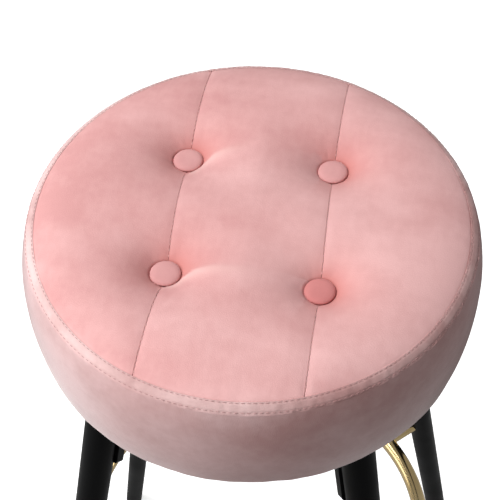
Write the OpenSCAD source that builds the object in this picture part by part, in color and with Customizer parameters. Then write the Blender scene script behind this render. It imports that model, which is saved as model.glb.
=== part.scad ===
// Round counter stool: a tufted velvet seat on four splayed round legs, with a footrest ring.
// Origin: centre of the footprint, on the floor. +Z is up and the front is towards -Y.

/* [Overall] */
// Height from the floor to the crown of the seat
stool_h = 762; // [640:2:860]
// Turn of the cover's seams against the legs, in degrees
cover_turn = 4; // [-10:1:10]

/* [Seat] */
// Widest diameter of the velvet band
seat_d = 305; // [290:1:350]
// Diameter of the edge welt's centre line
edge_d = 289; // [275:1:320]
// Diameter of the band at its lower edge
base_d = 296; // [282:2:330]
// Height from the band's lower edge to the edge welt
band_h = 81; // [66:1:110]
// Rise of the top panels from the edge welt to the crown
crown_rise = 10; // [4:0.5:14]
// Thickness of the velvet with its backing
cover_t = 1.2; // [0.8:0.1:2]
// Width of the velvet turned under the board
hem_w = 20; // [14:1:24]
// Width of the flat edge welt
welt_w = 7.5; // [5:0.5:9]
// Thickness of the edge welt
welt_t = 2; // [1.6:0.2:3]
// Thickness of the plywood seat board
board_t = 15; // [12:1:20]
// Thickness of the dust cover
dust_t = 0.8; // [0.5:0.1:1.2]

/* [Tufting] */
// Distance between neighbouring buttons
button_spacing = 98; // [88:1:104]
// How far the front right button is sewn forward of its square
front_slip = 3.5; // [0:0.5:4]
// Diameter of a covered button
button_d = 20; // [14:1:26]
// Height of a covered button's dome
button_h = 2.6; // [2:0.2:6]
// Depth to which a button pulls the top down
tuft_depth = 13; // [7:0.5:16]
// Distance over which the top rises again round a button
tuft_reach = 19; // [12:1:26]
// Depth of the valley along each seam
seam_depth = 1.6; // [0.5:0.1:3]
// Half width of the valley along each seam
seam_reach = 9; // [5:0.5:12]
// Sideways lean of the seams' ends: to the right at the back and to the left in front
seam_lean = 4; // [0:0.5:6]
// Diameter of the holes for the twine in pad and board
twine_hole_d = 6; // [5:0.5:8]

/* [Legs] */
// Distance from the axis to a leg's centre at its top
leg_top_r = 116; // [114:1:124]
// Distance from the axis to a leg's centre at the floor
leg_foot_r = 257; // [210:1:280]
// Diameter of a leg at its top
leg_top_d = 24.5; // [21:0.5:27]
// Diameter of a leg at its foot
leg_foot_d = 17.5; // [15:0.5:21]
// Depth of the flat for the bracket on a leg's inner side
leg_flat = 3; // [2:0.5:4]
// Diameter of a foot glide
glide_d = 15; // [12:0.5:18]
// Height of a foot glide's pad
glide_h = 4; // [3:0.5:6]

/* [Brackets] */
// Thickness of the bracket's steel
bracket_t = 5; // [3:0.5:6]
// Width of a bracket
bracket_w = 22; // [18:1:28]
// Length of the bracket's web down the leg
bracket_drop = 98; // [84:1:110]
// Spacing of the two screws into the leg
leg_screw_gap = 40; // [30:1:46]

/* [Footrest] */
// Height of the ring's centre line above the floor
ring_h = 340; // [250:2:420]
// Diameter of the ring's tube
ring_d = 13; // [12:0.5:16]
// Length of the spacer between ring and leg
spacer_l = 22; // [10:0.5:26]
// Diameter of the spacer
spacer_d = 10; // [9:0.5:11]

/* [Hidden] */

// Clearances, and the overrun of every cut
fit_gap = 0.3;
bore_gap = 0.2;
thread_gap = 0.05;
over = 2;
fine = 96;
round_fn = 48;

// The edge welt lies tilted on the shoulder, and its section is a flat strip with round sides
welt_tilt = 40;
welt_run = [cos(welt_tilt), -sin(welt_tilt)];
welt_out = [sin(welt_tilt), cos(welt_tilt)];
welt_mid = [edge_d / 2, band_h];
welt_side = (welt_w - welt_t) / 2;
welt_in_mid = welt_mid - welt_side * welt_run;
welt_out_mid = welt_mid + welt_side * welt_run;
shoulder_in = welt_in_mid - (welt_t / 2 + fit_gap) * welt_out;
shoulder_out = welt_out_mid - (welt_t / 2 + fit_gap) * welt_out;

// Layers of the seat, with heights over the seat's base where the name ends in over_base
rim_r = shoulder_in[0] - welt_t / 2;
rim_over_base = shoulder_in[1] + fit_gap;
band_top_over_base = welt_out_mid[1] - welt_t / 2 - fit_gap;
band_top_d = 2 * welt_out_mid[0] + welt_t;
board_over_base = cover_t + fit_gap;
foam_over_base = board_over_base + board_t;
seat_z = stool_h - rim_over_base - crown_rise - cover_t;
board_z = seat_z + board_over_base;
hem_round = 4;
hem_in_r = base_d / 2 - hem_w;
dust_lap = 8;

// Buttons stand at the corners of a square on the two seams, the front right one a little forward
seam_x = button_spacing / 2;
button_places = [[-seam_x, seam_x], [seam_x, seam_x], [-seam_x, -seam_x], [seam_x, -seam_x - front_slip]];
twine_r = norm(button_places[0]);
seam_gap = 0.3;
shank_d = 4;
shank_l = 7;
twine_d = 1.6;
washer_d = 16;
washer_t = 1.5;
knot_d = 4;
knot_room = 0.5;
washer_room = washer_t + knot_d + knot_room;
button_power = 0.6;
button_steps = 8;

// Columns of the panels' grids: by angle outside a seam and by width inside it. Rows are by depth
crown_power = 3.2;
fade_power = 10;
tuft_power = 1.6;
tuft_flat = 2;
end_turn = 4;
seam_turn = acos(seam_x / rim_r);
outer_shares = [0, 0.15, 0.3, 0.45, 0.6, 0.73, 0.83, 0.91, 0.96, 1];
inner_shares = [-1, -0.85, -0.68, -0.45, -0.2, 0, 0.2, 0.45, 0.68, 0.85, 1];
half_row_shares = [0.13, 0.25, 0.31, 0.37, 0.43, 0.49, 0.61, 0.75, 0.89, 1];
row_shares = concat(mirrored(half_row_shares), [0], half_row_shares);
side_shares = [0.88, 0.7, 0.48, 0.24, 0];
band_steps = 12;
arc_steps = 6;

// Legs: a leg's own frame has its origin at the top of its axis, Z up along it and X outwards
leg_names = ["back_left", "back_right", "front_left", "front_right"];
leg_turns = [135, 45, 225, 315];
leg_top_z = seat_z - dust_t - fit_gap;
splay = atan((leg_foot_r - leg_top_r) / leg_top_z);
leg_l = leg_top_z / cos(splay);
leg_spare = 20;
glide_round = 1.2;
glide_pin_d = 5;
glide_pin_l = 12;

// Brackets: the flange lies under the dust cover and the web against the leg's flat
flat_x = leg_top_d / 2 - leg_flat;
web_x = flat_x + fit_gap;
web_l = bracket_drop;
flange_z = board_z - dust_t;
bend_in = 3;
bend_out = bend_in + bracket_t;
bend_run = bend_out / tan((90 + splay) / 2);
web_top = [leg_top_r - (flange_z - leg_top_z) * tan(splay) - web_x / cos(splay), flange_z];
bend_mid = web_top - [bend_run, bend_out];
corner_r = 7;
web_first = 34;

// Fasteners of the brackets: bolts go up into the board and screws go out into the legs
bolt_d = 6;
bolt_head_d = 11;
bolt_head_h = 3.4;
bolt_l = 17;
hex_d = 4;
hex_depth = 2;
insert_d = 8;
insert_cap_d = 16;
insert_cap_t = 1.6;
insert_room = 3;
bolt_step = (washer_d + insert_cap_d) / 2 + insert_room;
bolt_places = [twine_r + bolt_step, twine_r - bolt_step];
flange_end = twine_r - bolt_step - bolt_head_d;
screw_d = 5;
screw_head_d = 9;
screw_head_h = 2.8;
screw_l = 15;
leg_insert_d = 8;
leg_insert_l = 11;
screw_places = [web_first, web_first + leg_screw_gap];

// Footrest: a long screw through each leg and its spacer holds the ring
ring_drop = leg_top_z - ring_h;
leg_ring_r = leg_top_r + ring_drop * tan(splay);
leg_ring_d = leg_top_d + (leg_foot_d - leg_top_d) * ring_drop / leg_top_z;
leg_in_r = leg_ring_r - leg_ring_d / 2 / cos(splay);
leg_out_r = leg_ring_r + leg_ring_d / 2 / cos(splay);
ring_r = leg_in_r - spacer_l - ring_d / 2;
screw_sink = 3;
screw_grip = 8;
grip_room = 1;

// Shape of the top: a crown, drawn down to one level under each button and along the seams
function lerp(a, b, t) = a + (b - a) * t;
function fade(r) = 1 - pow(min(1, r / rim_r), fade_power);
function crown(r) = crown_rise * (1 - pow(min(1, r / rim_r), crown_power));
function from_button(x, y) = min([for (p = button_places) norm([x, y] - p)]) - button_d / 2 - tuft_flat;
function pull(x, y) = exp(-pow(max(0, from_button(x, y)) / tuft_reach, tuft_power));
function valley(x) = seam_depth * exp(-pow((abs(x) - seam_x) / seam_reach, 2));
button_level = crown(twine_r) - tuft_depth;
function top_z(x, y, across) =
    let (r = norm([x, y]), free = crown(r) - fade(r) * valley(across))
    rim_over_base + lerp(free, button_level, fade(r) * pull(x, y));
button_z = seat_z + rim_over_base + button_level + cover_t + fit_gap;

// Outer radius of the band at a height over the seat's base
band_swell = (seat_d - (band_top_d + base_d) / 2) / 2;
function band_r(z) =
    let (t = z / band_top_over_base)
    lerp(base_d, band_top_d, t) / 2 + 4 * band_swell * t * (1 - t);
hem_mid = [band_r(hem_round) - hem_round, hem_round];

// Columns and points of a panel's grid. Outside the buttons the columns lean with the seams
function mirrored(list) = [for (i = [len(list) - 1 : -1 : 0]) -list[i]];
left_columns = [for (s = outer_shares) -rim_r * cos(lerp(end_turn, seam_turn, s))];
function half_depth(x) = sqrt(pow(rim_r, 2) - pow(x, 2));
button_share = seam_x / half_depth(seam_x);
function lean(x, v) =
    seam_lean * sign(v) * max(0, abs(v) - button_share) / (1 - button_share) * (1 - pow(x / rim_r, 4));
function grid(columns, lift) = [
    for (across = columns) for (v = row_shares)
        let (x = across + lean(across, v), y = v * half_depth(x)) [x, y, top_z(x, y, across) + lift]];

// Numbers of a grid's outline points, anticlockwise from above, and its triangles
function outline(nc, nr) = concat(
    [for (i = [0 : nc - 1]) i * nr],
    [for (j = [1 : nr - 1]) (nc - 1) * nr + j],
    [for (i = [nc - 2 : -1 : 0]) i * nr + nr - 1],
    [for (j = [nr - 2 : -1 : 1]) j]);
function mesh(nc, nr, first) = [
    for (i = [0 : nc - 2]) for (j = [0 : nr - 2])
        let (a = first + i * nr + j, b = a + nr)
        each [[a, a + 1, b + 1], [a, b + 1, b]]];
function wall(low, high) = [
    for (k = [0 : len(low) - 1])
        let (n = (k + 1) % len(low))
        each [[low[k], high[k], high[n]], [low[k], high[n], low[n]]]];
function turned_over(faces) = [for (f = faces) [f[2], f[1], f[0]]];

// Points of an arc about a centre, and of a strip's plan with one round end
function arc(centre, r, from, to) = [
    for (i = [0 : arc_steps])
        let (t = lerp(from, to, i / arc_steps)) centre + r * [cos(t), sin(t)]];
function round_end(start, end, w, r) = concat(
    arc([start + r, w / 2 - r], r, 180, 90), [[end, w / 2], [end, -w / 2]],
    arc([start + r, r - w / 2], r, 270, 180));

module on_seat() {
    translate([0, 0, seat_z]) rotate([0, 0, cover_turn]) children();
}

module at_leg(i) {
    rotate([0, 0, leg_turns[i]]) children();
}

module at_every_leg() {
    for (i = [0 : 3]) at_leg(i) children();
}

module in_leg_frame() {
    translate([leg_top_r, 0, leg_top_z]) rotate([0, -splay, 0]) children();
}

module at_buttons() {
    for (p = button_places) translate([p[0], p[1], 0]) children();
}

// Sewn panel: two like grids, one cover thickness apart, closed round their outline
module panel(columns) {
    nc = len(columns);
    nr = len(row_shares);
    rim = outline(nc, nr);
    lift = nc * nr;
    faces = concat(mesh(nc, nr, lift), turned_over(mesh(nc, nr, 0)), wall(rim, [for (k = rim) k + lift]));
    color("lightpink") on_seat() difference() {
        polyhedron(concat(grid(columns, 0), grid(columns, cover_t)), faces);
        at_buttons() cylinder(h = band_h + crown_rise, d = shank_d + 2 * fit_gap, $fn = 16);
    }
}

module velvet_top_left() {
    panel([for (x = left_columns) x - (x > -seam_x - seam_gap ? seam_gap : 0)]);
}

module velvet_top_centre() {
    panel([for (s = inner_shares) s * (seam_x - seam_gap)]);
}

module velvet_top_right() {
    panel([for (x = mirrored(left_columns)) x + (x < seam_x + seam_gap ? seam_gap : 0)]);
}

// Side band: swells between its edges, and is turned under the board
module velvet_side_band() {
    rise = band_top_over_base - hem_round;
    heights = [for (i = [band_steps : -1 : 1]) hem_round + rise * i / band_steps];
    color("lightpink") translate([0, 0, seat_z]) rotate_extrude($fn = fine) polygon(concat(
        [for (z = heights) [band_r(z), z]],
        arc(hem_mid, hem_round, 0, -90),
        [[hem_in_r, 0], [hem_in_r, cover_t]],
        arc(hem_mid, hem_round - cover_t, -90, 0),
        [for (z = mirrored(heights)) [band_r(-z) - cover_t, -z]]));
}

module edge_welt() {
    turn = -welt_tilt;
    color("pink") translate([0, 0, seat_z]) rotate_extrude($fn = fine) polygon(concat(
        arc(welt_in_mid, welt_t / 2, turn + 90, turn + 270),
        arc(welt_out_mid, welt_t / 2, turn - 90, turn + 90)));
}

// Velvet covered button with its shank below
module button(i) {
    dome = [
        for (k = [0 : button_steps])
            let (t = 90 * k / button_steps)
            [button_d / 2 * pow(cos(t), button_power), button_h * sin(t)]];
    color("lightcoral") rotate([0, 0, cover_turn])
        translate([button_places[i][0], button_places[i][1], button_z]) {
            rotate_extrude($fn = round_fn) polygon(concat(dome, [[0, 0]]));
            translate([0, 0, -shank_l]) cylinder(h = shank_l + fit_gap, d = shank_d, $fn = round_fn);
        }
}

// Foam pad: follows the panels' underside, fills the band and stands on the board
module foam_pad() {
    inner = [for (s = inner_shares) if (abs(s) < 1) s * seam_x];
    columns = concat(left_columns, inner, mirrored(left_columns));
    nc = len(columns);
    nr = len(row_shares);
    rim = outline(nc, nr);
    top = grid(columns, -fit_gap);
    sides = concat([shoulder_out], [
        for (s = side_shares)
            let (z = lerp(foam_over_base, band_top_over_base, s))
            [band_r(z) - cover_t - fit_gap, z]]);
    rings = [for (p = sides) for (k = rim)
        let (u = [top[k][0], top[k][1]] * p[0] / rim_r) [u[0], u[1], p[1]]];
    n = len(rim);
    function ring_ids(i) = i < 0 ? rim : [for (k = [0 : n - 1]) nc * nr + i * n + k];
    last = len(sides) - 1;
    foot = nc * nr + len(rings);
    faces = concat(
        mesh(nc, nr, 0),
        [for (i = [0 : last]) each wall(ring_ids(i), ring_ids(i - 1))],
        [for (k = [0 : n - 1]) [foot, ring_ids(last)[k], ring_ids(last)[(k + 1) % n]]]);
    color("lemonchiffon") on_seat() difference() {
        polyhedron(concat(top, rings, [[0, 0, foam_over_base]]), faces);
        at_buttons() cylinder(h = band_h + crown_rise, d = twine_hole_d, $fn = 16);
    }
}

// Plywood board: rounded lower edge, with holes for inserts and twine and a recess for each washer
module seat_board() {
    r = hem_round - cover_t - fit_gap;
    top_r = min(hem_mid[0] + r, band_r(foam_over_base) - cover_t - fit_gap);
    color("burlywood") difference() {
        translate([0, 0, seat_z]) rotate_extrude($fn = fine) polygon(concat(
            [[0, board_over_base]],
            arc(hem_mid, r, -90, 0),
            [[top_r, foam_over_base], [0, foam_over_base]]));
        rotate([0, 0, cover_turn]) at_buttons() translate([0, 0, board_z - over]) {
            cylinder(h = board_t + 2 * over, d = twine_hole_d, $fn = round_fn);
            cylinder(h = over + washer_room, d = washer_d + 2 * bore_gap, $fn = round_fn);
        }
        at_bolts() {
            translate([0, 0, board_z - over])
                cylinder(h = board_t + 2 * over, d = insert_d + 2 * bore_gap, $fn = round_fn);
            translate([0, 0, board_z + board_t - insert_cap_t - fit_gap])
                cylinder(h = over + insert_cap_t, d = insert_cap_d + 2 * bore_gap, $fn = round_fn);
        }
    }
}

module at_bolts() {
    at_every_leg() for (r = bolt_places) translate([r, 0, 0]) children();
}

// Dust cover: lies under the board, and steps down over the edge of the turned velvet
module dust_cover() {
    step_r = hem_in_r - fit_gap;
    color("dimgray") difference() {
        translate([0, 0, seat_z]) rotate_extrude($fn = fine) polygon([
            [0, board_over_base - dust_t], [step_r - dust_t, board_over_base - dust_t],
            [step_r - dust_t, -dust_t], [hem_in_r + dust_lap, -dust_t],
            [hem_in_r + dust_lap, 0], [step_r, 0],
            [step_r, board_over_base], [0, board_over_base]]);
        at_bolts() translate([0, 0, flange_z - over])
            cylinder(h = dust_t + 2 * over, d = bolt_d + 2 * bore_gap, $fn = round_fn);
    }
}

// Twines: from each button's shank, through pad, board and washer, to a knot
module button_twines() {
    washer_z = board_z + washer_room - washer_t;
    top = button_z - shank_l;
    color("ivory") rotate([0, 0, cover_turn]) at_buttons() {
        translate([0, 0, washer_z - knot_d / 2]) cylinder(h = top - washer_z + knot_d / 2, d = twine_d, $fn = round_fn);
        translate([0, 0, washer_z - knot_d / 2]) sphere(d = knot_d, $fn = round_fn);
    }
}

module twine_washers() {
    color("silver") rotate([0, 0, cover_turn]) at_buttons()
        translate([0, 0, board_z + washer_room - washer_t]) difference() {
            cylinder(h = washer_t, d = washer_d, $fn = round_fn);
            translate([0, 0, -over]) cylinder(h = washer_t + 2 * over, d = twine_d + 2 * bore_gap, $fn = round_fn);
        }
}

// Threaded inserts: a cap let into the board's top and a barrel down through it
module board_inserts() {
    cap_z = board_z + board_t - fit_gap - insert_cap_t;
    color("silver") at_bolts() difference() {
        union() {
            translate([0, 0, board_z + fit_gap]) cylinder(h = cap_z - board_z, d = insert_d, $fn = round_fn);
            translate([0, 0, cap_z]) cylinder(h = insert_cap_t, d = insert_cap_d, $fn = round_fn);
        }
        translate([0, 0, board_z]) cylinder(h = board_t + over, d = bolt_d + 2 * thread_gap, $fn = round_fn);
    }
}

// Button head with a hexagon socket, its shank pointing up
module socket_screw(d, l, head_d, head_h) {
    difference() {
        union() {
            cylinder(h = l, d = d, $fn = round_fn);
            translate([0, 0, -head_h / 2]) cylinder(h = head_h / 2, d = head_d, $fn = round_fn);
            translate([0, 0, -head_h]) cylinder(h = head_h / 2, d1 = head_d - head_h, d2 = head_d, $fn = round_fn);
        }
        translate([0, 0, -head_h - over]) cylinder(h = over + hex_depth, d = hex_d, $fn = 6);
    }
}

module flange_bolts() {
    color("dimgray") at_bolts() translate([0, 0, flange_z - bracket_t])
        socket_screw(bolt_d, bolt_l, bolt_head_d, bolt_head_h);
}

// Bracket: bent from one strip, with round corners at both ends
module bracket(i) {
    n = [cos(splay), sin(splay)];
    down = [sin(splay), -cos(splay)];
    foot = bend_mid + bend_out * n + (web_l - bend_run) * down;
    spare = leg_top_r;
    color("dimgray") at_leg(i) difference() {
        intersection() {
            rotate([90, 0, 0]) linear_extrude(bracket_w, center = true) polygon(concat(
                [[flange_end, flange_z]],
                arc(bend_mid, bend_out, 90, splay), [foot, foot - bracket_t * n],
                arc(bend_mid, bend_in, splay, 90), [[flange_end, flange_z - bracket_t]]));
            translate([0, 0, flange_z - spare - web_l]) linear_extrude(2 * spare + web_l)
                polygon(round_end(flange_end, leg_foot_r, bracket_w, corner_r));
            translate([foot[0], 0, foot[1]]) rotate([0, -splay, 0]) rotate([0, -90, 0])
                linear_extrude(2 * spare, center = true)
                    polygon(round_end(0, web_l + spare, bracket_w, corner_r));
        }
        for (r = bolt_places) translate([r, 0, flange_z - bracket_t - over])
            cylinder(h = bracket_t + 2 * over, d = bolt_d + 2 * bore_gap, $fn = round_fn);
        in_leg_frame() for (z = screw_places) translate([-web_x - bracket_t - over, 0, -z])
            rotate([0, 90, 0]) cylinder(h = bracket_t + 2 * over, d = screw_d + 2 * bore_gap, $fn = round_fn);
    }
}

// Straight tapered rod on a leg's axis, a little longer than the leg at both ends
module leg_rod(room) {
    taper = (leg_top_d - leg_foot_d) * leg_spare / leg_l;
    in_leg_frame() translate([0, 0, -leg_l - leg_spare])
        cylinder(h = leg_l + 2 * leg_spare, d1 = leg_foot_d - taper + 2 * room,
            d2 = leg_top_d + taper + 2 * room, $fn = round_fn);
}

// Turned leg: cut level at both ends, with a flat and screw holes for its bracket
module leg(i) {
    flat_l = web_l + corner_r;
    color("#202020") at_leg(i) difference() {
        intersection() {
            leg_rod(0);
            translate([0, 0, glide_h]) cylinder(h = leg_top_z - glide_h, r = leg_foot_r + leg_top_d, $fn = fine);
        }
        in_leg_frame() {
            translate([-flat_x - leg_top_d, -leg_top_d, -flat_l]) cube([leg_top_d, 2 * leg_top_d, flat_l + leg_spare]);
            for (z = screw_places) translate([-flat_x - over, 0, -z]) rotate([0, 90, 0])
                cylinder(h = over + leg_insert_l + grip_room, d = leg_insert_d + 2 * thread_gap, $fn = round_fn);
        }
        at_ring() cylinder(h = leg_foot_r, d = screw_d + 2 * bore_gap, $fn = round_fn);
        translate([leg_out_r - screw_sink, 0, ring_h]) rotate([0, 90, 0])
            cylinder(h = leg_top_d, d = screw_head_d + 2 * bore_gap, $fn = round_fn);
        at_glide() cylinder(h = glide_h + glide_pin_l + grip_room, d = glide_pin_d + 2 * thread_gap, $fn = round_fn);
    }
}

module leg_screws() {
    color("silver") at_every_leg() in_leg_frame() for (z = screw_places)
        translate([-web_x - bracket_t, 0, -z]) rotate([0, 90, 0])
            socket_screw(screw_d, screw_l, screw_head_d, screw_head_h);
}

module leg_inserts() {
    color("goldenrod") at_every_leg() in_leg_frame() for (z = screw_places)
        translate([-flat_x, 0, -z]) rotate([0, 90, 0]) difference() {
            cylinder(h = leg_insert_l, d = leg_insert_d, $fn = round_fn);
            translate([0, 0, -over])
                cylinder(h = leg_insert_l + 2 * over, d = screw_d + 2 * thread_gap, $fn = round_fn);
        }
}

// Level line from the ring's centre line out through a leg
module at_ring() {
    translate([ring_r, 0, ring_h]) rotate([0, 90, 0]) children();
}

module ring_tube(room) {
    translate([0, 0, ring_h]) rotate_extrude($fn = fine)
        translate([ring_r, 0]) circle(d = ring_d + 2 * room, $fn = round_fn);
}

// Footrest ring: a closed round tube with a threaded hole towards each leg
module footrest_ring() {
    color("gold") difference() {
        ring_tube(0);
        at_every_leg() translate([ring_r + ring_d / 2 - screw_grip - grip_room, 0, ring_h]) rotate([0, 90, 0])
            cylinder(h = ring_d, d = screw_d + 2 * thread_gap, $fn = round_fn);
    }
}

// Spacers: saddled over the ring at one end and against the leg at the other
module ring_spacers() {
    color("gold") at_every_leg() difference() {
        at_ring() cylinder(h = leg_ring_r - ring_r, d = spacer_d, $fn = round_fn);
        at_ring() translate([0, 0, -over]) cylinder(h = leg_foot_r, d = screw_d + 2 * bore_gap, $fn = round_fn);
        ring_tube(fit_gap);
        leg_rod(fit_gap);
    }
}

module ring_screws() {
    head_r = leg_out_r - screw_sink;
    tip_r = ring_r + ring_d / 2 - screw_grip;
    color("gold") at_every_leg() translate([head_r, 0, ring_h]) rotate([0, -90, 0])
        socket_screw(screw_d, head_r - tip_r, screw_head_d, screw_head_h);
}

module at_glide() {
    translate([leg_foot_r - glide_h * tan(splay), 0, 0]) children();
}

// Foot glide: a low pad with a round lower edge, and a pin up into the leg
module glide(i) {
    r = glide_d / 2;
    color("black") at_leg(i) at_glide() {
        rotate_extrude($fn = round_fn) polygon(concat(
            [[0, 0]], arc([r - glide_round, glide_round], glide_round, -90, 0), [[r, glide_h], [0, glide_h]]));
        translate([0, 0, glide_h - glide_round]) cylinder(h = glide_round + glide_pin_l, d = glide_pin_d, $fn = round_fn);
    }
}

velvet_top_left();
velvet_top_centre();
velvet_top_right();
velvet_side_band();
edge_welt();
button(0);  // button_back_left
button(1);  // button_back_right
button(2);  // button_front_left
button(3);  // button_front_right
foam_pad();
seat_board();
dust_cover();
button_twines();
twine_washers();
board_inserts();
flange_bolts();
leg_screws();
leg_inserts();
footrest_ring();
ring_spacers();
ring_screws();
for (i = [0 : 3]) {
    bracket(i);
    leg(i);
    glide(i);
}
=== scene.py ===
import math
import bmesh
import bpy
from mathutils import Matrix, Vector, noise
from mathutils.bvhtree import BVHTree


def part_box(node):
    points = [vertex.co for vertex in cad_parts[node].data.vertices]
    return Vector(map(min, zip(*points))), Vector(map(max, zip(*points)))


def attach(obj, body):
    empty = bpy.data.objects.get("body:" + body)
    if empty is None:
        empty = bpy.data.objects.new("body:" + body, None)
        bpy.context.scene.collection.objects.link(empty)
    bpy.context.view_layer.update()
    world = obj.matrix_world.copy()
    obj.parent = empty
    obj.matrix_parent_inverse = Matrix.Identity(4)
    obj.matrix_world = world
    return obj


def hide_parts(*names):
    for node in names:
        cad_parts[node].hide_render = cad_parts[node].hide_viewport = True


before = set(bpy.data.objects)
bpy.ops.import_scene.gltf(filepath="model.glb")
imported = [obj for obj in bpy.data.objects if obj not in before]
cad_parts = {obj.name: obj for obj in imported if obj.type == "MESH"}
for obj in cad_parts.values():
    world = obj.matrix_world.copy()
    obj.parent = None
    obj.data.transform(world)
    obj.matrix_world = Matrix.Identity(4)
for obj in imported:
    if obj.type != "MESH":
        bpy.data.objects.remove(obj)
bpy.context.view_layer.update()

# Legs: four turned beech rods, tapered and splayed towards the foot, with a flat for the bracket and bores
# for the screws. They are sprayed with a satin black lacquer that feet and hands have dulled in patches.
mm = 0.001
leg_names = ("back_left", "back_right", "front_left", "front_right")


def finish(name, colour, roughness, metallic=0.0, specular=0.5):
    """A new material with its plain values set, and its shader."""
    material = bpy.data.materials.new(name)
    material.use_nodes = True
    shader = material.node_tree.nodes["Principled BSDF"]
    shader.inputs["Base Color"].default_value = (*colour, 1.0)
    shader.inputs["Roughness"].default_value = roughness
    shader.inputs["Metallic"].default_value = metallic
    shader.inputs["Specular IOR Level"].default_value = specular
    return material, shader


def effect(name, inputs, outputs):
    """A new node group with its named sockets, and its own input and output nodes."""
    group = bpy.data.node_groups.new(name, "ShaderNodeTree")
    for label, kind, value in inputs:
        socket = group.interface.new_socket(label, in_out="INPUT", socket_type=kind)
        socket.default_value = value
    for label, kind in outputs:
        group.interface.new_socket(label, in_out="OUTPUT", socket_type=kind)
    return group, group.nodes.new("NodeGroupInput"), group.nodes.new("NodeGroupOutput")


def noise_on(tree, point, detail, stretch=(1, 1, 1)):
    mapping = tree.nodes.new("ShaderNodeMapping")
    mapping.inputs["Scale"].default_value = stretch
    tree.links.new(point, mapping.inputs["Vector"])
    cloud = tree.nodes.new("ShaderNodeTexNoise")
    cloud.inputs["Detail"].default_value = detail
    tree.links.new(mapping.outputs["Vector"], cloud.inputs["Vector"])
    return cloud


def spread_out(tree, value, low, high, new_low=0.0, new_high=1.0):
    """The node that spreads a value's range from low to high out to a new one."""
    spread = tree.nodes.new("ShaderNodeMapRange")
    for label, number in zip(("From Min", "From Max", "To Min", "To Max"), (low, high, new_low, new_high)):
        spread.inputs[label].default_value = number
    tree.links.new(value, spread.inputs["Value"])
    return spread


def worked_out(tree, operation, first, second):
    """The result of a sum with a value and either another value or a plain number."""
    node = tree.nodes.new("ShaderNodeMath")
    node.operation = operation
    tree.links.new(first, node.inputs[0])
    if isinstance(second, float):
        node.inputs[1].default_value = second
    else:
        tree.links.new(second, node.inputs[1])
    return node.outputs["Value"]


def handled_surface():
    """Patches left by wear, with their own roughness, over a fine grain."""
    group, given, made = effect(
        "Handled surface",
        [("Patch scale", "NodeSocketFloat", 20.0), ("Grain scale", "NodeSocketFloat", 900.0),
         ("Dull", "NodeSocketFloat", 0.4), ("Bright", "NodeSocketFloat", 0.3)],
        [("Patches", "NodeSocketFloat"), ("Roughness", "NodeSocketFloat"), ("Height", "NodeSocketFloat")])
    place = group.nodes.new("ShaderNodeTexCoord").outputs["Object"]
    patches = noise_on(group, place, 3.0)
    grain = noise_on(group, place, 1.0)
    group.links.new(given.outputs["Patch scale"], patches.inputs["Scale"])
    group.links.new(given.outputs["Grain scale"], grain.inputs["Scale"])
    spread = spread_out(group, patches.outputs["Fac"], 0.35, 0.65)
    group.links.new(given.outputs["Bright"], spread.inputs["To Min"])
    group.links.new(given.outputs["Dull"], spread.inputs["To Max"])
    group.links.new(patches.outputs["Fac"], made.inputs["Patches"])
    group.links.new(spread.outputs["Result"], made.inputs["Roughness"])
    group.links.new(grain.outputs["Fac"], made.inputs["Height"])
    return group


handled = handled_surface()
grain_h = 0.3 * mm


def bump(material, height, strength, distance):
    tree = material.node_tree
    lift = tree.nodes.new("ShaderNodeBump")
    lift.inputs["Strength"].default_value = strength
    lift.inputs["Distance"].default_value = distance
    tree.links.new(height, lift.inputs["Height"])
    tree.links.new(lift.outputs["Normal"], tree.nodes["Principled BSDF"].inputs["Normal"])


def two_tone(material, mask, low, high):
    tree = material.node_tree
    ramp = tree.nodes.new("ShaderNodeValToRGB")
    ramp.color_ramp.elements[0].color = (*low, 1.0)
    ramp.color_ramp.elements[1].color = (*high, 1.0)
    ramp.color_ramp.elements[0].position = 0.3
    ramp.color_ramp.elements[1].position = 0.7
    tree.links.new(mask, ramp.inputs["Fac"])
    tree.links.new(ramp.outputs["Color"], tree.nodes["Principled BSDF"].inputs["Base Color"])


def hard_finish(name, low, high, bright, dull, metallic=0.0, specular=0.5, patch=20.0, grain=900.0,
                depth=0.05):
    """A finish in two tones, bright where it is worn and dull elsewhere, over a fine grain."""
    material, shader = finish(name, low, dull, metallic, specular)
    tree = material.node_tree
    surface = tree.nodes.new("ShaderNodeGroup")
    surface.node_tree = handled
    surface.inputs["Patch scale"].default_value = patch
    surface.inputs["Grain scale"].default_value = grain
    surface.inputs["Bright"].default_value = bright
    surface.inputs["Dull"].default_value = dull
    tree.links.new(surface.outputs["Roughness"], shader.inputs["Roughness"])
    two_tone(material, surface.outputs["Patches"], low, high)
    bump(material, surface.outputs["Height"], depth, grain_h)
    return material


def coat(material, *names):
    """Gives the material to nodes of the CAD model."""
    for name in names:
        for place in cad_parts[name].material_slots:
            place.material = material


lacquer = hard_finish("Black lacquer", (0.0014, 0.0014, 0.0016), (0.0026, 0.0026, 0.0029), 0.32, 0.46,
                      specular=0.03)
leg_turns = {"back_left": 135, "back_right": 45, "front_left": 225, "front_right": 315}
leg_top_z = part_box("leg_front_left")[1].z
leg_top_r = 116 * mm
leg_foot_r = 257 * mm
leg_top_d = 24.5 * mm
leg_foot_d = 17.5 * mm
leg_sides = 72
leg_cuts = (100, 200, 300, 330, 350, 450, 550, 620)
spare = 20 * mm
leg_flat = 3 * mm
flat_l = 105 * mm
screw_drops = (34 * mm, 74 * mm)
insert_bore_r = 4.05 * mm
insert_bore_l = 12 * mm
ring_bore_r = 2.7 * mm
head_bore_r = 4.7 * mm
head_sink = 3 * mm
pin_bore_r = 2.55 * mm
pin_bore_l = 17 * mm
bore_sides = 40
sharp_turn = math.radians(35)
glide_h = 4 * mm
splay = math.atan((leg_foot_r - leg_top_r) / leg_top_z)
leg_l = leg_top_z / math.cos(splay)
ring_low, ring_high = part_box("footrest_ring")
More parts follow.
